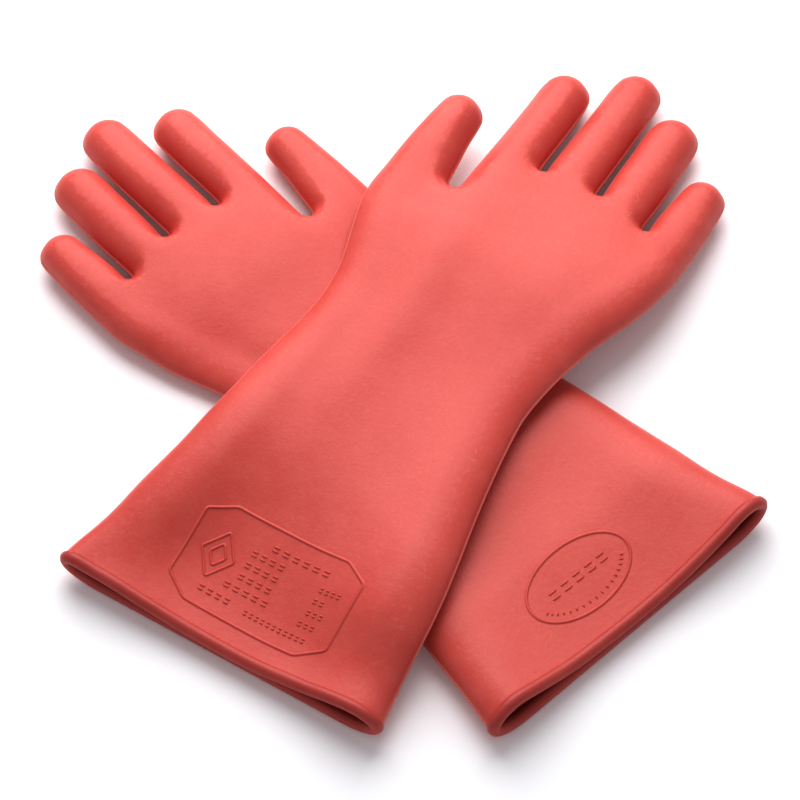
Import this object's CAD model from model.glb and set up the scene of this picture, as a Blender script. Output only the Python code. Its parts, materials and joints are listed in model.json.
import json
import math

import bmesh
import bpy
import numpy as np
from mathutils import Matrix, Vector
from mathutils.geometry import delaunay_2d_cdt


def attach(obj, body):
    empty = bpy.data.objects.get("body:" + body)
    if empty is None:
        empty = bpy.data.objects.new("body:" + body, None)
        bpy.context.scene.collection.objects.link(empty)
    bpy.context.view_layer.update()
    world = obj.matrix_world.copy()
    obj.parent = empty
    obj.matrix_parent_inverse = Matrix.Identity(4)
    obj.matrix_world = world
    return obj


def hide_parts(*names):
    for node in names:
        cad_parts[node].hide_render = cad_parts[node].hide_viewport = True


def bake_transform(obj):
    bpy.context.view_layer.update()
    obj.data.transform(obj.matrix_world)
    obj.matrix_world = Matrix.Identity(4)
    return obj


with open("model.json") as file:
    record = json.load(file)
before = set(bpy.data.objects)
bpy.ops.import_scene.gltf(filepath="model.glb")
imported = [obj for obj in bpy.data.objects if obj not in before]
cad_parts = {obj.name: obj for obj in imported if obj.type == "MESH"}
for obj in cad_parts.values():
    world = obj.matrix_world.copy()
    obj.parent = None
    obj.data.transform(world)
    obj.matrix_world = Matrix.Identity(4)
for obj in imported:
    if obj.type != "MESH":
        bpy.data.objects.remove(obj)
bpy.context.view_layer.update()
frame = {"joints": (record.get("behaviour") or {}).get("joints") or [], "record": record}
mounts = {m["name"]: m for m in frame["record"]["mounts"]}
mm = 0.001


def ease(t):
    # 0 below 0, 1 above 1, and t squared times 3 minus 2t between
    u = np.clip(t, 0.0, 1.0)
    return u * u * (3 - 2 * u)


def through(knots, values, at):
    # cubic Hermite curve through the values, each slope the mean slope of its neighbours
    knots, values, at = np.asarray(knots, float), np.asarray(values, float), np.asarray(at, float)
    slopes = np.gradient(values, knots, axis=0)
    k = np.clip(np.searchsorted(knots, at) - 1, 0, len(knots) - 2)
    h = knots[k + 1] - knots[k]
    t = np.clip((at - knots[k]) / h, 0, 1)
    if values.ndim > 1:
        h, t = h[..., None], t[..., None]
    return (values[k] * (1 + 2 * t) * (1 - t) ** 2 + slopes[k] * h * t * (1 - t) ** 2
            + values[k + 1] * t * t * (3 - 2 * t) - slopes[k + 1] * h * t * t * (1 - t))


def table(pairs, at):
    knots, values = np.array(pairs, float).T
    return through(knots, values, np.clip(at, knots[0], knots[-1]))


def unit(v):
    return v / np.maximum(np.linalg.norm(v, axis=-1, keepdims=True), 1e-12)


def evenly(points, step, closed=False):
    # the same polyline with points about `step` apart
    p = np.vstack([points, points[:1]]) if closed else points
    run = np.concatenate([[0], np.cumsum(np.linalg.norm(np.diff(p, axis=0), axis=1))])
    n = max(2, int(round(run[-1] / step)) + (0 if closed else 1))
    at = np.linspace(0, run[-1], n + 1)[:-1] if closed else np.linspace(0, run[-1], n)
    return np.stack([np.interp(at, run, c) for c in p.T], 1)


def meshObject(name, verts, faces, cornerNormals=None):
    # faces is a list of index arrays, one array for quads and one for triangles
    mesh = bpy.data.meshes.new(name)
    faces = [f for f in faces if len(f)]
    sizes = np.concatenate([np.full(len(f), f.shape[1]) for f in faces])
    corners = np.concatenate([f.ravel() for f in faces])
    mesh.vertices.add(len(verts))
    mesh.loops.add(len(corners))
    mesh.polygons.add(len(sizes))
    mesh.vertices.foreach_set("co", np.ascontiguousarray(verts, np.float32).ravel())
    mesh.loops.foreach_set("vertex_index", corners.astype(np.int32))
    mesh.polygons.foreach_set("loop_start", (np.cumsum(sizes) - sizes).astype(np.int32))
    mesh.polygons.foreach_set("use_smooth", np.ones(len(sizes), bool))
    mesh.update(calc_edges=True)
    mesh.validate()
    if cornerNormals is not None:
        mesh.normals_split_custom_set(cornerNormals.tolist())
    made = bpy.data.objects.new(name, mesh)
    bpy.context.scene.collection.objects.link(made)
    return made


# everything about a glove is in millimetres in the flat glove: x across with the thumb at minus, y from the
# cuff edge to the middle fingertip, z up. Side points are x, y
glove = {
    "thumbSide": [(-88.5, 0), (-87.0, 8), (-82.8, 26), (-80.0, 40), (-77.4, 54), (-74.2, 68), (-70.8, 83),
                  (-68.2, 97), (-65.3, 112), (-63.0, 124), (-60.3, 139), (-57.0, 155), (-54.1, 170),
                  (-52.3, 186)],
    "thumbSideHand": [(-55.8, 216), (-58.4, 225), (-61.6, 236), (-64.5, 247), (-65.5, 259), (-64.8, 269)],
    "littleSide": [(89.0, 0), (88.0, 8), (86.1, 26), (84.5, 49), (82.2, 72), (79.2, 92), (76.0, 112),
                   (73.2, 132), (71.1, 148), (69.3, 162), (67.9, 174), (67.8, 187)],
    "littleSideHand": [(70.0, 214), (72.6, 225), (77.2, 237), (82.0, 249), (86.0, 262), (88.4, 272),
                       (90.5, 283), (91.2, 296)],
    "wristCut": 204.5,     # the lines where the skin is divided so that it can bend
    "thumbCut": 280.0,
    "fingerCut": 317.5,
    "cutX": {"wrist": (-53.2, 68.7), "thumb": (-64.1, -34.6), "index": (-26.4, -0.8), "middle": (4.1, 30.8),
             "ring": (35.8, 61.3), "little": (66.2, 91.7)},
    "indexRoot": (-26.9, 296),     # where the forefinger's side leaves the thumb crotch
    "littleRoot": (91.5, 307),     # where the little finger's outer side leaves the hand
    "web": 12.0,           # rounding of the edge between the fingers
    "mouth": 4.5,          # the skin ends inside the bead
    "skin": 2.0,
    "flash": 0.9,          # height and half width of the parting line that runs round the rim
    "flashWidth": 0.6,
    # tip centre x and y, tip radius, side points from the root up on the left and down on the right
    "stalls": {
        "thumb": (-49.5, 316.5, 11.2, [(-63.2, 292), (-62.0, 304)], [(-37.2, 302), (-35.8, 291)]),
        "index": (-12.5, 361.4, 12.4, [(-25.8, 336), (-25.3, 349)], [(0.0, 346), (-0.5, 331)]),
        "middle": (19.4, 379.9, 12.5, [(4.6, 334), (5.8, 356)], [(31.8, 358), (31.2, 334)]),
        "ring": (49.2, 364.5, 12.9, [(35.4, 331), (35.8, 348)], [(62.2, 348), (61.9, 331)]),
        "little": (79.9, 339.1, 11.2, [(66.6, 322), (67.7, 331)], [(91.4, 329), (91.8, 322)]),
    },
    # crotches between the stalls: middle of the U, radius, and height of its bottom
    "crotches": [(-31.0, 3.4, 275.4), (1.9, 2.5, 310.6), (33.4, 2.5, 312.4), (63.5, 2.5, 305.0)],
    "rounding": 20.0,      # how far in from the edge the wide parts are rounded
}
names = list(glove["stalls"])

# how each glove lies. lip is how far the upper lip of the mouth hangs at each x, reach how far it stands out
# there; leanThumb, leanLittle and mouthTurn are how the glove is flexed in its plane
lie = {
    "bead": {"lift": 2.25, "run": 45.0, "middle": 3.25},
    "upper": {
        "thickness": [(-5, 20), (66, 20), (126, 19), (196, 18), (246, 20), (309, 21), (420, 21)],
        "sag": [(-5, 7), (46, 7), (106, 5), (156, 2), (196, 0), (420, 0)],
        "sideSag": [(-5, 3), (40, 2.5), (80, 0), (420, 0)],
        "lip": [(-100, 2), (-88, 3), (-79, 5.2), (-60, 6.8), (-39, 9.6), (-19, 11.3), (0, 11.5), (21, 11.3),
                (40, 9), (51, 7.2), (60, 4.6), (70, 2.4), (80, 1), (100, 0)],
        "reach": [(-100, 0), (-70, 0), (-39, 0.7), (-19, 1.0), (21, 1.2), (40, 0.6), (60, 0), (100, 0)],
        "leanThumb": [(-5, 0.5), (26, 0.5), (54, 0.8), (83, 1.4), (112, 0.8), (130, 0), (420, 0)],
        "leanLittle": [(-5, -1.2), (26, -0.8), (49, 0), (188, 0), (204, 1.8), (214, 3), (237, 3), (249, 2.6),
                       (262, 2.3), (283, 1.1), (307, 0.5), (330, 0), (420, 0)],
        "fingers": (-0.5, 0.6), "mouthTurn": (0.5, 0.0),
    },
    "lower": {
        "thickness": [(-5, 20), (51, 18), (81, 15.2), (106, 14.6), (201, 14.6), (242, 15.2), (270, 19),
                      (309, 21), (420, 21)],
        "sag": [(-5, 6), (46, 4.5), (96, 0), (420, 0)],
        "sideSag": [(-5, 0), (420, 0)],
        "lip": [(-100, 0), (-88, 0.5), (-79, 1.2), (-60, 4.2), (-39, 7.8), (-19, 10.6), (0, 11.5), (21, 11.2),
                (40, 9.2), (60, 4.2), (73, 1), (88, 0), (100, 0)],
        "reach": [(-100, -3), (-79, -2.8), (-60, -1.2), (-39, -0.2), (0, 0), (21, -0.4), (40, -0.8),
                  (60, -1.7), (73, -2.5), (100, -2.5)],
        "leanThumb": [(-5, -0.5), (26, -0.5), (54, -0.8), (83, -1.4), (112, -0.8), (130, 0), (420, 0)],
        "leanLittle": [(-5, 1.3), (26, 0.8), (49, 0), (188, 0), (204, -1.8), (214, -3), (237, -3),
                       (249, -2.6), (262, -2.3), (283, -1.1), (307, -0.5), (330, 0), (420, 0)],
        "fingers": (0.4, -0.6), "mouthTurn": (-1.4, -0.023),
    },
    "crossLift": 15.4,
}


def thickness(which, y):
    return table(lie[which]["thickness"], y)


def rise(which, x, y):
    # height of the underside: the bead holds the cuff up, and the upper glove climbs over the lower one
    up = lie["bead"]["lift"] * (1 - ease((y - lie["bead"]["middle"]) / lie["bead"]["run"]))
    if which == "upper":
        early = 28 * ease((x - 5) / 60) * ease((y - 11) / 40)
        up = up + lie["crossLift"] * ease((y - 6 + early) / 108) * (1 - ease((y - 228) / 130))
        up = up + 10 * ease((-x - 22) / 26) * ease((y - 251) / 65)
    return up


def edges(y):
    # x of the two sides of the gauntlet and palm
    left = glove["thumbSide"] + [(-52.6, 198)] + glove["thumbSideHand"]
    right = glove["littleSide"] + [(68.3, 201)] + glove["littleSideHand"]
    return (table([(b, a) for a, b in left], np.clip(y, 0, 269)),
            table([(b, a) for a, b in right], np.clip(y, 0, 296)))


def dip(which, x, y):
    # how far the upper side sinks: a wide valley, a narrower one towards the thumb, and the hanging lip,
    # which takes over in the last centimetres before the mouth
    left, right = edges(y)
    half = (right - left) / 2 - glove["rounding"]
    u = np.clip((x - (left + right) / 2) / half, -1, 1)
    own = lie[which]
    towardsThumb = np.exp(-((u + 0.5) / 0.38) ** 2)
    valley = (1 - u ** 4) ** 2 * (table(own["sag"], y) + towardsThumb * table(own["sideSag"], y))
    near = 1 - ease((y - 3) / 52)
    return valley * (1 - near) + table(own["lip"], x) * near


def reach(which, x, y):
    # how far the upper side stands out past the lower one at the mouth
    return table(lie[which]["reach"], x) * (1 - ease((y - 3) / 34))


def flexed(which, points):
    # the whole glove flexed in its own plane: each side leans by its own table, with an even mix between
    own, x, y = lie[which], points[:, 0], points[:, 1]
    left, right = edges(y)
    s = np.clip((x - left) / (right - left), 0, 1)
    along = ease((y - 300) / 60)
    dx = table(own["leanThumb"], y) * (1 - s) + table(own["leanLittle"], y) * s + own["fingers"][0] * along
    dy = own["fingers"][1] * along + (own["mouthTurn"][0] + own["mouthTurn"][1] * x) * (1 - ease(y / 80))
    return points + np.stack([dx, dy, 0 * x], 1)


def arc(x, y, r, start, end, steps):
    q = np.radians(np.linspace(start, end, steps + 1))
    return [(x + r * c, y + r * s) for c, s in zip(np.cos(q), np.sin(q))]


def outline():
    # the plan outline as one line from the thumb side of the cuff round every finger to the other side.
    # each entry is x, y, how far in the edge is rounded, and the name of a cut that starts there
    wrist, thumbCut, fingerCut = glove["wristCut"], glove["thumbCut"], glove["fingerCut"]
    wide, cutX, web = glove["rounding"], glove["cutX"], glove["web"]
    rows = [(x, y, wide, "") for x, y in glove["thumbSide"]]
    rows.append((cutX["wrist"][0], wrist, wide, "wristLeft"))
    rows += [(x, y, wide - 6 * ease((y - 221) / 50), "") for x, y in glove["thumbSideHand"]]
    for i, name in enumerate(names):
        x, y, r, leftSide, rightSide = glove["stalls"][name]
        cut = thumbCut if name == "thumb" else fingerCut
        inward = r - 0.3
        rows.append((cutX[name][0], cut, inward, name + "Left"))
        rows += [(a, b, inward, "") for a, b in leftSide]
        rows += [(a, b, inward, "") for a, b in arc(x, y, r, 180, 0, 8)]
        rows += [(a, b, inward, "") for a, b in rightSide]
        rows.append((cutX[name][1], cut, inward, name + "Right"))
        if i < 4:
            cx, cr, bottom = glove["crotches"][i]
            rows += [(a, b, web, "") for a, b in arc(cx, bottom + cr, cr, 180, 360, 4)]
            if name == "thumb":
                rows.append((*glove["indexRoot"], web, ""))
    rows.append((*glove["littleRoot"], web, ""))
    rows += [(x, y, wide - 7.5 * ease((y - 231) / 70), "") for x, y in glove["littleSideHand"][::-1]]
    rows.append((cutX["wrist"][1], wrist, wide, "wristRight"))
    rows += [(x, y, wide, "") for x, y in glove["littleSide"][::-1]]
    return rows


def sampleOutline():
    rows = outline()
    points = np.array([r[:2] for r in rows], float)
    run = np.concatenate([[0], np.cumsum(np.sqrt(np.linalg.norm(np.diff(points, axis=0), axis=1)))])
    anchors = [0] + [i for i, r in enumerate(rows) if r[3]] + [len(rows) - 1]
    inward = np.array([r[2] for r in rows], float)
    fine = np.linspace(0, run[-1], 6000)
    curve = through(run, points, fine)
    length = np.concatenate([[0], np.cumsum(np.linalg.norm(np.diff(curve, axis=0), axis=1))])
    tangent = unit(np.gradient(curve, axis=0))
    turn = np.linalg.norm(np.gradient(tangent, axis=0), axis=1) / np.gradient(length)
    turn = np.convolve(turn, np.ones(41) / 41, "same")
    dense = 1 / np.clip(0.11 / np.maximum(turn, 1e-6), 0.55, 2.4)     # samples per millimetre
    count = np.concatenate([[0], np.cumsum(dense[1:] * np.diff(length))])
    at, starts = [], {}
    for a, b in zip(anchors[:-1], anchors[1:]):
        starts[rows[a][3]] = len(at)
        lo, hi = np.interp([run[a], run[b]], fine, count)
        n = max(2, int(round(hi - lo)))
        at += list(np.interp(np.linspace(lo, hi, n + 1)[:-1], count, fine))
    at.append(run[-1])
    at = np.array(at)
    line = through(run, points, at)
    step = 0.05
    ahead = through(run, points, np.minimum(at + step, run[-1]))
    behind = through(run, points, np.maximum(at - step, 0))
    t = unit(ahead - behind)
    normal = np.stack([t[:, 1], -t[:, 0]], 1)                # to the right of the way round is inwards
    level = (1 - ease((line[:, 1] - 6) / 40))[:, None]       # near the cuff the rows run straight across
    normal = unit(normal * (1 - level) + np.stack([np.sign(-line[:, 0]), 0 * line[:, 0]], 1) * level)
    rounding = np.interp(at, run, np.convolve(np.pad(inward, 1, "edge"), [0.25, 0.5, 0.25], "valid"))
    return line, normal, rounding, starts


def insidePolygon(points, polygon):
    # even-odd rule: count the sides that a ray towards +x crosses
    x, y = points[:, :1], points[:, 1:]
    a, b = polygon, np.roll(polygon, -1, axis=0)
    crosses = (a[:, 1] > y) != (b[:, 1] > y)
    slope = np.where(np.abs(b[:, 1] - a[:, 1]) < 1e-9, 1e-9, b[:, 1] - a[:, 1])
    at = a[:, 0] + (y - a[:, 1]) / slope * (b[:, 0] - a[:, 0])
    return (crosses & (x < at)).sum(1) % 2 == 1


def planMesh():
    # the plan of the glove as a mesh: rows that follow the outline inwards, and a loose mesh of triangles
    # over the flat middle, with edges along every cut
    line, normal, rounding, starts = sampleOutline()
    angles = np.radians([0, 1.8, 3.6, 5.6, 8.5, 13, 19, 26, 34, 42, 50, 58, 66, 73])
    count, rows = len(line), len(angles)
    inset = rounding[:, None] * (1 - np.cos(angles))[None]
    strip = line[:, None] + normal[:, None] * inset[..., None]
    # near the cuff everything shifts along, so that the skin ends inside the bead
    shift = glove["mouth"] * (1 - ease(line[:, 1] / 40))
    strip[..., 1] += shift[:, None]
    inner = strip[:, -1]
    spacing = 3.2
    mouth = np.linspace(inner[-1], inner[0], int((inner[-1, 0] - inner[0, 0]) / spacing) + 1)[1:-1]
    loop = np.vstack([inner, mouth])
    cuts = [(starts[n + "Left"], starts[n + "Right"]) for n in ["wrist"] + names]
    extra, cutEdges = [], []
    for a, b in cuts:
        n = max(2, int(np.linalg.norm(inner[b] - inner[a]) / spacing) + 1)
        middle = np.linspace(inner[a], inner[b], n + 1)[1:-1]
        ids = [a] + [len(loop) + len(extra) + i for i in range(len(middle))] + [b]
        extra += list(middle)
        cutEdges += list(zip(ids[:-1], ids[1:]))
    fixed = np.vstack([loop, np.array(extra)])
    low, high = loop.min(0), loop.max(0)
    gx, gy = np.meshgrid(np.arange(low[0], high[0], spacing), np.arange(low[1], high[1], spacing * 0.866))
    gx = gx + (np.arange(len(gy)) % 2)[:, None] * spacing / 2
    grid = np.stack([gx.ravel(), gy.ravel()], 1)
    grid = grid[insidePolygon(grid, loop)]
    near = np.hypot(grid[:, None, 0] - fixed[None, :, 0], grid[:, None, 1] - fixed[None, :, 1]).min(1)
    grid = grid[near > 0.62 * spacing]
    everything = np.vstack([fixed, grid])
    around = [(i, (i + 1) % len(loop)) for i in range(len(loop))]
    found = delaunay_2d_cdt([Vector(p) for p in everything], around + cutEdges, [], 1, 1e-6, True)
    # points keep their own numbers through the lists of original numbers
    origin = np.array([o[0] for o in found[3]])
    triangles = origin[np.array([list(f) for f in found[2]])]
    triangles = triangles[insidePolygon(everything[triangles].mean(1), loop)]
    return {"line": line, "normal": normal, "rounding": rounding, "starts": starts, "angles": angles,
            "strip": strip, "loose": everything[count:], "triangles": triangles,
            "count": count, "rows": rows, "inner": inner}


plan = planMesh()
print("plan:", plan["count"], "round the outline,", len(plan["triangles"]), "triangles inside")


def fullness(points):
    # 0 at the outline and 1 where the glove has its full thickness: the root of 1 minus the square of
    # 1 minus d over the rounding, where d is the distance to the outline
    out = np.empty(len(points))
    for i in range(0, len(points), 4000):
        p = points[i:i + 4000]
        d = np.linalg.norm(p[:, None] - plan["line"][None], axis=2) / plan["rounding"][None]
        out[i:i + 4000] = d.min(1)
    u = np.clip(out, 0, 1)
    return np.sqrt(np.clip(1 - (1 - u) ** 2, 0, 1))


def crotchRim(x, y):
    # a soft raised rim round the bottom of every crotch
    total = 0
    for cx, cr, bottom in glove["crotches"]:
        d = np.hypot(x - cx, np.minimum(y - bottom - cr, 0) + np.maximum(y - bottom - cr, 0) * 0.75) - cr
        total = total + np.exp(-((d - 5.6) / 2.6) ** 2) * ease((bottom + 12 - y) / 14)
    return total


def waves(x, y, seed, size):
    # slow swells: a sum of sines whose directions and lengths come from the seed
    pick = np.random.default_rng(seed)
    total = 0
    for _ in range(7):
        q, long = pick.uniform(0, 2 * np.pi), pick.uniform(55, 130)
        total = total + np.sin((x * np.cos(q) + y * np.sin(q)) * 2 * np.pi / long + pick.uniform(0, 6.28))
    return total * size / 7


# height of the rims round the crotches, size and seed of the slow swells, and half width of the pale seam
skinLook = {"rimHeight": 1.25, "swell": 0.5, "seed": {"upper": 3, "lower": 8}, "seamWidth": 0.9}


def topHeight(which, x, y, full):
    t = thickness(which, y)
    swell = waves(x, y, skinLook["seed"][which], skinLook["swell"]) * full ** 4
    return (t / 2 * (1 + full) - dip(which, x, y) * full ** 2 + rise(which, x, y)
            + (skinLook["rimHeight"] * crotchRim(x, y) + swell) * full)


def bottomHeight(which, x, y, full):
    return thickness(which, y) / 2 * (1 - full) + rise(which, x, y)


def skinSurface(which):
    # outer surface of one glove in its own millimetres: vertices, quads, triangles and the zone of each
    count, rows, sines = plan["count"], plan["rows"], np.sin(plan["angles"])
    strip, loose = plan["strip"], plan["loose"]
    t = thickness(which, strip[..., 1])
    full = np.repeat(sines[None], count, 0)
    away = glove["flash"] * np.exp(-(t / 2 * full / glove["flashWidth"]) ** 2)
    xy = strip - plan["normal"][:, None] * away[..., None]
    xy = np.vstack([xy.reshape(-1, 2), loose])
    at = np.vstack([strip.reshape(-1, 2), loose])
    full = np.concatenate([full.ravel(), fullness(loose)])
    top = np.column_stack([xy, topHeight(which, at[:, 0], at[:, 1], full)])
    bottom = np.column_stack([xy, bottomHeight(which, at[:, 0], at[:, 1], full)])
    out = reach(which, at[:, 0], at[:, 1])
    top[:, 1] -= out * (1 + full) / 2
    bottom[:, 1] -= out * (1 - full) / 2
    # the parting line: 1 at the outline, gone a millimetre above or below it. Rubbed places: the rims round
    # the crotches and the shoulders, where the side turns over into the upper face
    seam = np.exp(-(thickness(which, at[:, 1]) / 2 * full / skinLook["seamWidth"]) ** 2)
    rubbed = 0.75 * crotchRim(at[:, 0], at[:, 1]) * full + 0.6 * np.exp(-((full - 0.90) / 0.09) ** 2)
    marks = np.stack([np.concatenate([seam, seam]), np.concatenate([rubbed, 0 * rubbed])])
    n = len(top)
    # the two sides share the outline row
    lower = np.arange(n) + n
    lower[:count * rows:rows] = np.arange(0, count * rows, rows)
    k, j = np.meshgrid(np.arange(count - 1), np.arange(rows - 1), indexing="ij")
    a, b, c, d = k * rows + j, (k + 1) * rows + j, (k + 1) * rows + j + 1, k * rows + j + 1
    topQuads = np.stack([a, d, c, b], -1).reshape(-1, 4)
    column = np.repeat(np.arange(count - 1), rows - 1)
    index = np.where(plan["triangles"] < count, plan["triangles"] * rows + rows - 1,
                     count * rows + plan["triangles"] - count)
    p = top[index][..., :2]
    u, v = p[:, 1] - p[:, 0], p[:, 2] - p[:, 0]
    index = np.where((u[:, 0] * v[:, 1] - u[:, 1] * v[:, 0] < 0)[:, None], index[:, ::-1], index)
    quads = np.vstack([topQuads, lower[topQuads][:, ::-1]])
    tris = np.vstack([index, lower[index][:, ::-1]])
    # zones: 0 gauntlet, 1 palm, 2 to 6 the stalls
    starts, inner = plan["starts"], plan["inner"]
    zone = np.ones(count - 1, int)
    zone[:starts["wristLeft"]] = 0
    zone[starts["wristRight"]:] = 0
    middle = top[index].mean(1)[:, :2]
    looseZone = np.ones(len(index), int)

    def beyond(left, right):
        p, q = inner[starts[left]], inner[starts[right]]
        line = p[1] + (q[1] - p[1]) * (middle[:, 0] - p[0]) / (q[0] - p[0])
        return (middle[:, 1] > line), (middle[:, 0] > p[0] - 6) & (middle[:, 0] < q[0] + 6)

    looseZone[~beyond("wristLeft", "wristRight")[0]] = 0
    for i, name in enumerate(names):
        zone[starts[name + "Left"]:starts[name + "Right"]] = i + 2
        above, across = beyond(name + "Left", name + "Right")
        looseZone[above & across] = i + 2
    quadZone = np.concatenate([zone[column]] * 2)
    return np.vstack([top, bottom]), quads, tris, quadZone, np.concatenate([looseZone] * 2), marks


def vertexNormals(verts, quads, tris):
    # area-weighted mean of the faces round each vertex
    total = np.zeros_like(verts)
    q, t = verts[quads], verts[tris]
    for f, n in ((quads, np.cross(q[:, 2] - q[:, 0], q[:, 3] - q[:, 1])),
                 (tris, np.cross(t[:, 1] - t[:, 0], t[:, 2] - t[:, 0]))):
        for i in range(f.shape[1]):
            np.add.at(total, f[:, i], n)
    return unit(total)


def openEdges(faces):
    # directed edges that no other face of the set uses the other way
    pairs = np.vstack([np.stack([f, np.roll(f, -1, axis=1)], -1).reshape(-1, 2) for f in faces])
    key = pairs[:, 0] * 10_000_000 + pairs[:, 1]
    back = pairs[:, 1] * 10_000_000 + pairs[:, 0]
    return pairs[~np.isin(key, back)]


def placing(which):
    # rotation, mirror and shift that lay a flat glove in the shared frame, from the cuff mouth's mount
    mount = mounts[which + "_cuff_mouth"]
    along = -np.array(mount["axis"], float)
    across = np.array([along[1], -along[0], 0.0])
    if which == "lower":
        across = -across           # the lower glove is the mirror image: the other hand of the pair
    origin = np.array([mount["pos_m"][0], mount["pos_m"][1], 0.0])
    return origin, np.stack([across, along, [0, 0, 1]])


def toFrame(which, points):
    origin, axes = placing(which)
    return origin + flexed(which, points) * mm @ axes


def gloveSkin(which):
    verts, quads, tris, quadZone, triZone, marks = skinSurface(which)
    normals = vertexNormals(verts, quads, tris)
    inside = verts - normals * glove["skin"]
    flip = which == "lower"
    turned = unit(normals @ placing(which)[1])
    outer, inner = toFrame(which, verts), toFrame(which, inside)
    pieces = []
    for zone, name in enumerate(["gauntlet", "palm"] + names):
        q, t = quads[quadZone == zone], tris[triZone == zone]
        rim = openEdges([q, t])
        n = len(verts)
        wall = np.stack([rim[:, 1], rim[:, 0], rim[:, 0] + n, rim[:, 1] + n], 1)
        allQuads = np.vstack([q, q[:, ::-1] + n, wall])
        allTris = np.vstack([t, t[:, ::-1] + n])
        if flip:
            allQuads, allTris = allQuads[:, ::-1], allTris[:, ::-1]
        both, bothNormals = np.vstack([outer, inner]), np.vstack([turned, -turned])
        corner = bothNormals[allQuads].reshape(-1, 4, 3)
        w = both[allQuads[-len(rim):]] if len(rim) else np.zeros((0, 4, 3))
        face = unit(np.cross(w[:, 2] - w[:, 0], w[:, 3] - w[:, 1]))
        if len(rim):
            corner[-len(rim):] = face[:, None]
        corner = np.vstack([corner.reshape(-1, 3), bothNormals[allTris].reshape(-1, 3)])
        used, where = np.unique(np.concatenate([allQuads.ravel(), allTris.ravel()]), return_inverse=True)
        allQuads = where[:allQuads.size].reshape(-1, 4)
        allTris = where[-allTris.size:].reshape(-1, 3)
        made = meshObject(f"{which}_{name}_skin", both[used], [allQuads, allTris], corner)
        for label, values in zip(["seam", "rubbed"], marks):
            layer = made.data.attributes.new(label, "FLOAT", "POINT")
            layer.data.foreach_set("value", np.concatenate([values, 0 * values])[used].astype(np.float32))
        pieces.append(made)
        print(made.name, len(allQuads) * 2 + len(allTris), "triangles")
    return pieces


upperSkin = gloveSkin("upper")
lowerSkin = gloveSkin("lower")


bead = {"radius": 3.25, "sides": 20, "step": 2.2}


def mouthLine(which):
    # middle of the skin at the bead: an ellipse quarter at each corner of the mouth, the hanging upper lip
    # and the flat lower one between them
    y = bead["radius"]
    left, right = (float(v) for v in edges(np.array(y)))
    wide, h = glove["rounding"], float(thickness(which, y)) / 2 - 1
    q = np.radians(np.linspace(-90, 90, 40))
    flat = np.linspace(right - wide, left + wide, 90)[1:-1]
    turn = (wide - 1) * np.cos(q)
    x = np.concatenate([right - wide + turn, flat, left + wide - turn, flat[::-1]])
    s = np.concatenate([np.sin(q), 0 * flat + 1, -np.sin(q), 0 * flat - 1])
    top = np.maximum(s, 0)
    swell = waves(x, y + 0 * x, skinLook["seed"][which], skinLook["swell"]) * top ** 5
    z = h + 1 + h * s - dip(which, x, y + 0 * x) * top ** 2 + rise(which, x, y + 0 * x) + swell
    return evenly(np.stack([x, y - reach(which, x, y) * (1 + s) / 2, z], 1), bead["step"], True)


def sweep(path, out, side, profile, closed):
    # carries a profile of (outward, sideways) pairs along a path: point + out * a + side * b
    rings = path[:, None] + out[:, None] * profile[None, :, :1] + side[:, None] * profile[None, :, 1:]
    n, m = rings.shape[:2]
    i, j = np.meshgrid(np.arange(n if closed else n - 1), np.arange(m), indexing="ij")
    a, b = i * m + j, ((i + 1) % n) * m + j
    c, d = ((i + 1) % n) * m + (j + 1) % m, i * m + (j + 1) % m
    return rings.reshape(-1, 3), np.stack([a, b, c, d], -1).reshape(-1, 4)


def outwards(verts, quads):
    # turns the faces over if the closed shape's volume comes out negative
    v = verts[quads] - verts.mean(0)
    volume = np.einsum("ij,ij->i", v[:, 0], np.cross(v[:, 1], v[:, 2]) + np.cross(v[:, 2], v[:, 3])).sum()
    return quads[:, ::-1] if volume < 0 else quads


def gloveBead(which):
    path = mouthLine(which)
    ahead = unit(np.roll(path, -1, axis=0) - np.roll(path, 1, axis=0))
    side = np.repeat([[0.0, 1.0, 0.0]], len(path), 0)
    out = unit(np.cross(ahead, side))
    q = np.linspace(0, 2 * np.pi, bead["sides"], endpoint=False)
    profile = bead["radius"] * np.stack([np.cos(q), np.sin(q)], 1)
    verts, quads = sweep(path, out, side, profile, True)
    verts = toFrame(which, verts)
    return meshObject(which + "_cuff_bead_roll", verts, [outwards(verts, quads)])


upperBead, lowerBead = gloveBead("upper"), gloveBead("lower")


marks = {
    "height": 0.6, "halfWidth": 0.5, "foot": 0.95,
    "panelMiddle": (3.5, 40.0), "panelSize": (88.0, 50.0), "panelCut": (13.0, 8.0),
    "badgeMiddle": (6.0, 34.5), "badgeSize": (60.0, 34.0),
    # rows of short bars inside the panel: x and y from its middle, number of blocks and their pitch
    "panelRows": [(-6, 15.5, 6, 5.6), (-14, 9.2, 4, 5.0), (25, 7.4, 4, 3.2), (-14, 3.0, 4, 5.0),
                  (25, 1.6, 2, 3.6), (-14, -3.2, 4, 5.0), (25, -4.4, 3, 3.4), (-18, -9.4, 5, 5.2),
                  (24, -10.4, 3, 3.4),
                  (-28, -16.4, 4, 4.8), (-2, -17.2, 11, 3.2)],
    "badgeRow": (-18, 0.5, 5, 7.6),
}


def surfaceAt(which, xy):
    # height and normal of the upper side, from the height's slopes
    full = np.ones(len(xy))
    x, y = xy.T
    e = 0.4
    z = topHeight(which, x, y, full)
    dx = (topHeight(which, x + e, y, full) - topHeight(which, x - e, y, full)) / (2 * e)
    dy = (topHeight(which, x, y + e, full) - topHeight(which, x, y - e, full)) / (2 * e)
    return z, unit(np.stack([-dx, -dy, np.ones(len(x))], 1))


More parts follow.
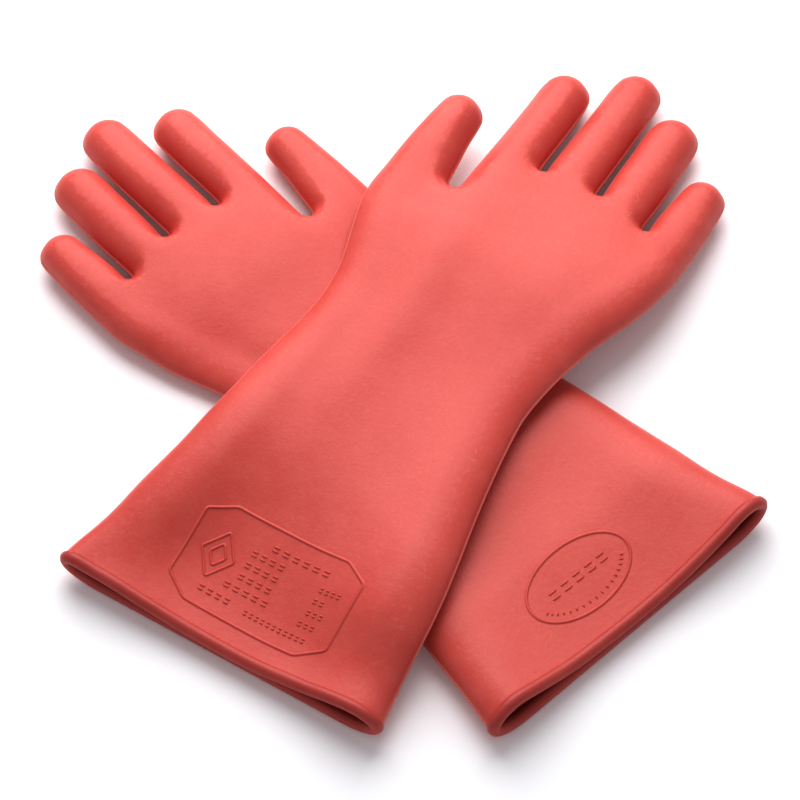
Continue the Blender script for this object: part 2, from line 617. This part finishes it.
def raisedLine(which, path, closed, scale=1.0):
    # a low rounded ridge with a flared foot, carried along a line on the glove
    path = evenly(np.array(path, float), 0.8 if closed else 0.7, closed)
    z, normal = surfaceAt(which, path)
    line = np.column_stack([path[:, 0], path[:, 1] - reach(which, path[:, 0], path[:, 1]), z])
    step = np.roll(line, -1, axis=0) - np.roll(line, 1, axis=0) if closed else np.gradient(line, axis=0)
    ahead = unit(step)
    side = unit(np.cross(normal, ahead))
    w, f, h = marks["halfWidth"] * scale, marks["foot"] * scale, marks["height"]
    profile = np.array([(-0.4, -f), (0.02, -f), (0.12 * h, -0.8 * f), (0.5 * h, -w), (0.87 * h, -0.55 * w),
                        (h, 0), (0.87 * h, 0.55 * w), (0.5 * h, w), (0.12 * h, 0.8 * f),
                        (0.02, f), (-0.4, f)])
    if closed:
        return sweep(line, normal, side, profile, True)
    # the ends shrink to rounded tips
    n, m = len(line), len(profile)
    fade = np.minimum(np.arange(n), np.arange(n)[::-1]) * 0.7 / (f + 0.1)
    fade = np.sqrt(1 - (1 - np.clip(fade, 0.02, 1)) ** 2)
    verts, quads = sweep(line, normal, side, profile, False)
    shrunk = line[:, None] + (verts.reshape(n, m, 3) - line[:, None]) * fade[:, None, None]
    centre = n * m
    j = np.arange(m)
    last = (n - 1) * m
    caps = np.vstack([np.stack([j, (j + 1) % m, 0 * j + centre], 1),
                      np.stack([last + (j + 1) % m, last + j, 0 * j + centre + 1], 1)])
    return np.vstack([shrunk.reshape(-1, 3), line[:1], line[-1:]]), (quads, caps)


def markPiece(name, which, lines):
    # every line of one mark in a single mesh
    verts, quads, tris, start = [], [], [], 0
    for path, closed, scale in lines:
        v, f = raisedLine(which, path, closed, scale)
        q, t = f if isinstance(f, tuple) else (f, np.zeros((0, 3), int))
        verts.append(v)
        flipped = np.sum(unit(np.cross(v[q[:, 1]] - v[q[:, 0]], v[q[:, 3]] - v[q[:, 0]]))[5::11, 2]) < 0
        if flipped:
            q = q[:, ::-1]
        quads.append(q + start)
        tris.append(t + start)
        start += len(v)
    verts, quads, tris = np.vstack(verts), np.vstack(quads), np.vstack(tris)
    made = meshObject(name, toFrame(which, verts), [quads[:, ::-1] if which == "lower" else quads, tris])
    work = bmesh.new()
    work.from_mesh(made.data)
    bmesh.ops.recalc_face_normals(work, faces=work.faces)
    work.to_mesh(made.data)
    work.free()
    return made


def roundedCorners(corners, cut):
    # each corner becomes a short curve: a quadratic from one side to the next
    corners = np.array(corners, float)
    before, after = np.roll(corners, 1, axis=0), np.roll(corners, -1, axis=0)
    a, b = corners + unit(before - corners) * cut, corners + unit(after - corners) * cut
    t = np.linspace(0, 1, 6)[:, None, None]
    curve = a * (1 - t) ** 2 + 2 * corners * t * (1 - t) + b * t * t
    return curve.transpose(1, 0, 2).reshape(-1, 2)


def panelFrame():
    (mx, my), (w, h), (cx, cy) = marks["panelMiddle"], marks["panelSize"], marks["panelCut"]
    w, h = w / 2, h / 2
    corners = [(w, cy - h), (w, h - cy), (w - cx, h), (cx - w, h),
               (-w, h - cy), (-w, cy - h), (cx - w, -h), (w - cx, -h)]
    return [(roundedCorners(np.array(corners) + (mx, my), 1.6), True, 1.0)]


def panelEmblem():
    # one diamond inside another
    mx, my = marks["panelMiddle"][0] - 28, marks["panelMiddle"][1] + 1
    shape = np.array([(1, 0), (0, 1), (-1, 0), (0, -1)], float)
    return [(roundedCorners(shape * size + (mx, my), 1.2), True, 0.9) for size in ((9, 12), (4.5, 6))]


def barRow(middle, row, height):
    # a row of plain blocks, each of two short bars one above the other
    x, y, count, pitch = row
    left = middle[0] + x + np.arange(count) * pitch
    return [([(a, middle[1] + y + level), (a + pitch * 0.66, middle[1] + y + level)], False, 0.62)
            for a in left for level in (-height / 4, height / 4)]


def panelLines():
    lines = []
    for row in marks["panelRows"]:
        lines += barRow(marks["panelMiddle"], row, 4.0 if row[3] > 4 else 3.4)
    return lines


def badgeOval():
    q = np.linspace(0, 2 * np.pi, 120, endpoint=False)
    (mx, my), (w, h) = marks["badgeMiddle"], marks["badgeSize"]
    return [(np.stack([mx + w / 2 * np.cos(q), my + h / 2 * np.sin(q)], 1), True, 1.0)]


def badgeLines():
    # a row of blocks across the oval and short radial bars under it
    mx, my = marks["badgeMiddle"]
    lines = barRow(marks["badgeMiddle"], marks["badgeRow"], 6.4)
    for q in np.radians(np.linspace(20, 160, 17)):
        c, d = math.cos(q), -math.sin(q)
        lines.append(([(mx + 24.4 * c, my + 11.6 * d), (mx + 26.6 * c, my + 13.6 * d)], False, 0.6))
    return lines


markPieces = {
    "upper_rating_panel": markPiece("upper_rating_panel_ridge", "upper", panelFrame()),
    "upper_panel_emblem": markPiece("upper_panel_emblem_ridge", "upper", panelEmblem()),
    "upper_panel_lines": markPiece("upper_panel_lines_ridge", "upper", panelLines()),
    "lower_badge_oval": markPiece("lower_badge_oval_ridge", "lower", badgeOval()),
    "lower_badge_lines": markPiece("lower_badge_lines_ridge", "lower", badgeLines()),
}
print("marks made")


class Socket:
    def __init__(self, tree, output):
        self.tree, self.output = tree, output

    def math(self, operation, other, swapped=False):
        a, b = (other, self) if swapped else (self, other)
        return self.tree.add("ShaderNodeMath", {"operation": operation}, {0: a, 1: b})

    def __add__(self, other):
        return self.math("ADD", other)

    def __radd__(self, other):
        return self.math("ADD", other, True)

    def __sub__(self, other):
        return self.math("SUBTRACT", other)

    def __rsub__(self, other):
        return self.math("SUBTRACT", other, True)

    def __mul__(self, other):
        return self.math("MULTIPLY", other)

    def __rmul__(self, other):
        return self.math("MULTIPLY", other, True)

    def __truediv__(self, other):
        return self.math("DIVIDE", other)

    def __pow__(self, other):
        return self.math("POWER", other)


class Shader:
    def __init__(self, name):
        self.material = bpy.data.materials.new(name)
        self.material.use_nodes = True
        self.nodes = self.material.node_tree.nodes
        self.links = self.material.node_tree.links
        self.nodes.clear()

    def add(self, kind, settings=None, inputs=None, output=0):
        node = self.nodes.new(kind)
        for key, value in (settings or {}).items():
            if key == "stops":
                while len(node.color_ramp.elements) < len(value):
                    node.color_ramp.elements.new(0.5)
                for element, (position, colour) in zip(node.color_ramp.elements, value):
                    element.position, element.color = position, colour
            else:
                setattr(node, key, value)
        for key, value in (inputs or {}).items():
            if isinstance(value, Socket):
                self.links.new(value.output, node.inputs[key])
            else:
                node.inputs[key].default_value = value
        return Socket(self, node.outputs[output])

    def noise(self, where, scale, detail=3.0, roughness=0.5):
        return self.add("ShaderNodeTexNoise", None,
                        {"Vector": where, "Scale": scale, "Detail": detail, "Roughness": roughness})

    def blendColour(self, factor, a, b, mode="MIX"):
        return self.add("ShaderNodeMix", {"data_type": "RGBA", "blend_type": mode},
                        {0: factor, 6: a, 7: b}, output=2)

    def ramp(self, value, low, high):
        # 0 at low, 1 at high, smooth between
        return self.add("ShaderNodeMapRange", {"interpolation_type": "SMOOTHSTEP"},
                        {"Value": value, "From Min": low, "From Max": high})


rubberSkin = {
    "name": "coralRubber", "colour": (0.635, 0.118, 0.096, 1), "deep": (0.585, 0.094, 0.076, 1),
    "dust": (0.80, 0.31, 0.27, 1), "dustAmount": 0.34, "roughness": 0.44, "spread": 0.16, "bump": 0.50,
}
rolledBead = {
    "name": "beadRubber", "colour": (0.49, 0.080, 0.066, 1), "deep": (0.44, 0.064, 0.054, 1),
    "dust": (0.76, 0.22, 0.19, 1), "dustAmount": 0.10, "roughness": 0.42, "spread": 0.12, "bump": 0.30,
}
raisedMarks = {
    "name": "markRubber", "colour": (0.62, 0.114, 0.094, 1), "deep": (0.56, 0.092, 0.075, 1),
    "dust": (0.80, 0.26, 0.22, 1), "dustAmount": 0.30, "roughness": 0.50, "spread": 0.10, "bump": 0.25,
}


def rubberMaterial(look):
    s = Shader(look["name"])
    where = s.add("ShaderNodeTexCoord", None, None, output=3)
    clouds = s.noise(where, 11.0, 3.0, 0.5)                  # slow drifts of colour over the hand
    mottle = s.noise(where, 75.0, 4.0, 0.6)                  # cure mottle, about a centimetre across
    grain = s.noise(where, 1100.0, 2.0, 0.6)                 # fine moulded grain, just under a millimetre
    scuff = s.noise(where, 430.0, 4.0, 0.7)                  # pale specks about a millimetre across
    rubbed = s.add("ShaderNodeAttribute", {"attribute_name": "rubbed"}, None, output=2)
    seam = s.add("ShaderNodeAttribute", {"attribute_name": "seam"}, None, output=2)
    dust = s.ramp(scuff, 0.50, 0.68) * (s.ramp(clouds, 0.45, 0.65) * 0.15 + rubbed)
    colour = s.blendColour(s.ramp(clouds, 0.25, 0.75), look["deep"], look["colour"])
    colour = s.blendColour(s.ramp(mottle, 0.3, 0.8) * 0.12, colour, look["dust"])
    colour = s.blendColour(dust * look["dustAmount"] + seam * 0.6, colour, look["dust"])
    colour = s.blendColour(s.ramp(grain, 0.30, 0.75) * 0.10, colour, look["deep"])
    rough = look["roughness"] + (mottle - 0.5) * look["spread"] + dust * 0.14 + (grain - 0.5) * 0.12
    height = grain * 0.55 + s.noise(where, 380.0, 3.0, 0.6) * 0.9 + mottle * 0.8
    bump = s.add("ShaderNodeBump", None, {"Strength": look["bump"], "Distance": 0.0003, "Height": height})
    shader = s.add("ShaderNodeBsdfPrincipled", None, {
        "Base Color": colour, "Roughness": rough, "Normal": bump, "Specular IOR Level": 0.42,
        "Subsurface Weight": 0.05, "Subsurface Scale": 0.002})
    out = s.nodes.new("ShaderNodeOutputMaterial")
    s.links.new(shader.output, out.inputs["Surface"])
    return s.material


skinMaterial, beadMaterial, markMaterial = (
    rubberMaterial(look) for look in (rubberSkin, rolledBead, raisedMarks))
for piece in upperSkin + lowerSkin:
    piece.data.materials.append(skinMaterial)
for piece in (upperBead, lowerBead):
    piece.data.materials.append(beadMaterial)
for piece in markPieces.values():
    piece.data.materials.append(markMaterial)
print("materials made")


def hinge(name):
    return next(j for j in frame["joints"] if j["name"] == name)


def acrossJoint(piece, which, joint, start, end):
    # the skin turns between two stations of the flat glove, measured along the glove
    _, axes = placing(which)
    pos = np.array(joint["pos_m"])
    origin = placing(which)[0]
    at = float((pos - origin) @ axes[1])
    a, b = pos + axes[1] * (start * mm - at), pos + axes[1] * (end * mm - at)
    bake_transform(piece)


bend = {"wrist": (187.0, 204.0), "thumb": (280.8, 298.0), "finger": (318.3, 335.0)}
zoneNodes = {"gauntlet": ["gauntlet", "wrist_band"], "palm": ["palm", "knuckle_web"]}

for which, pieces in (("upper", upperSkin), ("lower", lowerSkin)):
    hand = "upper_hand" if which == "upper" else "lower_glove"
    cuff = "upper_cuff" if which == "upper" else "lower_glove"
    if which == "upper":
        acrossJoint(pieces[0], which, hinge("upper_wrist"), *bend["wrist"])
    else:
        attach(pieces[0], cuff)
    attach(pieces[1], hand)
    for name, piece in zip(["gauntlet", "palm"], pieces[:2]):
        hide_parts(*[f"{which}_{z}" for z in zoneNodes[name]])
    for name, piece in zip(names, pieces[2:]):
        zone = bend["thumb" if name == "thumb" else "finger"]
        acrossJoint(piece, which, hinge(f"{which}_{name}_curl"), *zone)
        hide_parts(f"{which}_{name}_root", f"{which}_{name}_stall")
    roll = upperBead if which == "upper" else lowerBead
    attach(roll, cuff)
    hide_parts(which + "_cuff_bead")
for node, piece in markPieces.items():
    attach(piece, "upper_cuff" if node.startswith("upper") else "lower_glove")
    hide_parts(node)


cuffMouth = mounts["upper_cuff_mouth"]["pos_m"]
studio = {
    "aim": (cuffMouth[0] + 0.00262, cuffMouth[1] + 0.1668, 0.0), "azimuth": 30.56, "elevation": 59.61,
    "distance": 1.6, "lens": 144.97, "sensor": 36, "gamma": 0.72,
    "floor": (0.92, 0.92, 0.935, 1), "floorSize": 3, "floorGlow": 0.06, "below": 0.0002,
    "world": (1.0, 1.0, 1.02, 1), "worldStrength": 0.52,
    # azimuth, elevation, distance, size and power of each lamp
    "key": (216, 48, 0.95, 1.15, 13.5), "side": (300, 35, 2.2, 1.2, 1),
}


def direction(azimuth, elevation):
    a, e = math.radians(azimuth), math.radians(elevation)
    return Vector((math.sin(a) * math.cos(e), -math.cos(a) * math.cos(e), math.sin(e)))


def softLight(name, azimuth, elevation, distance, size, power):
    data = bpy.data.lights.new(name, "AREA")
    data.shape, data.size, data.energy = "DISK", size, power
    lamp = bpy.data.objects.new(name, data)
    bpy.context.scene.collection.objects.link(lamp)
    back = direction(azimuth, elevation)
    lamp.location = Vector(studio["aim"]) + back * distance
    lamp.rotation_mode = "QUATERNION"
    lamp.rotation_quaternion = back.to_track_quat("Z", "Y")
    return lamp


def makeFloor():
    n = 24
    g = np.linspace(-studio["floorSize"], studio["floorSize"], n)
    x, y = np.meshgrid(g, g)
    verts = np.stack([x.ravel(), y.ravel(), 0 * x.ravel() - studio["below"]], 1)
    i, j = np.meshgrid(np.arange(n - 1), np.arange(n - 1), indexing="ij")
    a = i * n + j
    made = meshObject("studioFloor", verts, [np.stack([a, a + 1, a + n + 1, a + n], -1).reshape(-1, 4)])
    s = Shader("paperFloor")
    shader = s.add("ShaderNodeBsdfPrincipled", None, {
        "Base Color": studio["floor"], "Roughness": 0.9, "Specular IOR Level": 0.1,
        "Emission Color": studio["floor"], "Emission Strength": studio["floorGlow"]})
    out = s.nodes.new("ShaderNodeOutputMaterial")
    s.links.new(shader.output, out.inputs["Surface"])
    made.data.materials.append(s.material)


makeFloor()
world = bpy.data.worlds.new("studioWorld")
bpy.context.scene.world = world
world.use_nodes = True
world.node_tree.nodes["Background"].inputs[0].default_value = studio["world"]
world.node_tree.nodes["Background"].inputs[1].default_value = studio["worldStrength"]
softLight("key", *studio["key"])
softLight("side", *studio["side"])

camera = bpy.data.objects.new("camera", bpy.data.cameras.new("camera"))
bpy.context.scene.collection.objects.link(camera)
back = direction(studio["azimuth"], studio["elevation"])
camera.location = Vector(studio["aim"]) + back * studio["distance"]
camera.rotation_mode = "QUATERNION"
camera.rotation_quaternion = (-back).to_track_quat("-Z", "Y")
camera.data.lens = studio["lens"]
camera.data.sensor_width = studio["sensor"]
camera.data.clip_start, camera.data.clip_end = 0.05, 50
bpy.context.scene.camera = camera
bpy.context.scene.view_settings.view_transform = "Standard"
bpy.context.scene.view_settings.gamma = studio["gamma"]
print("studio made")
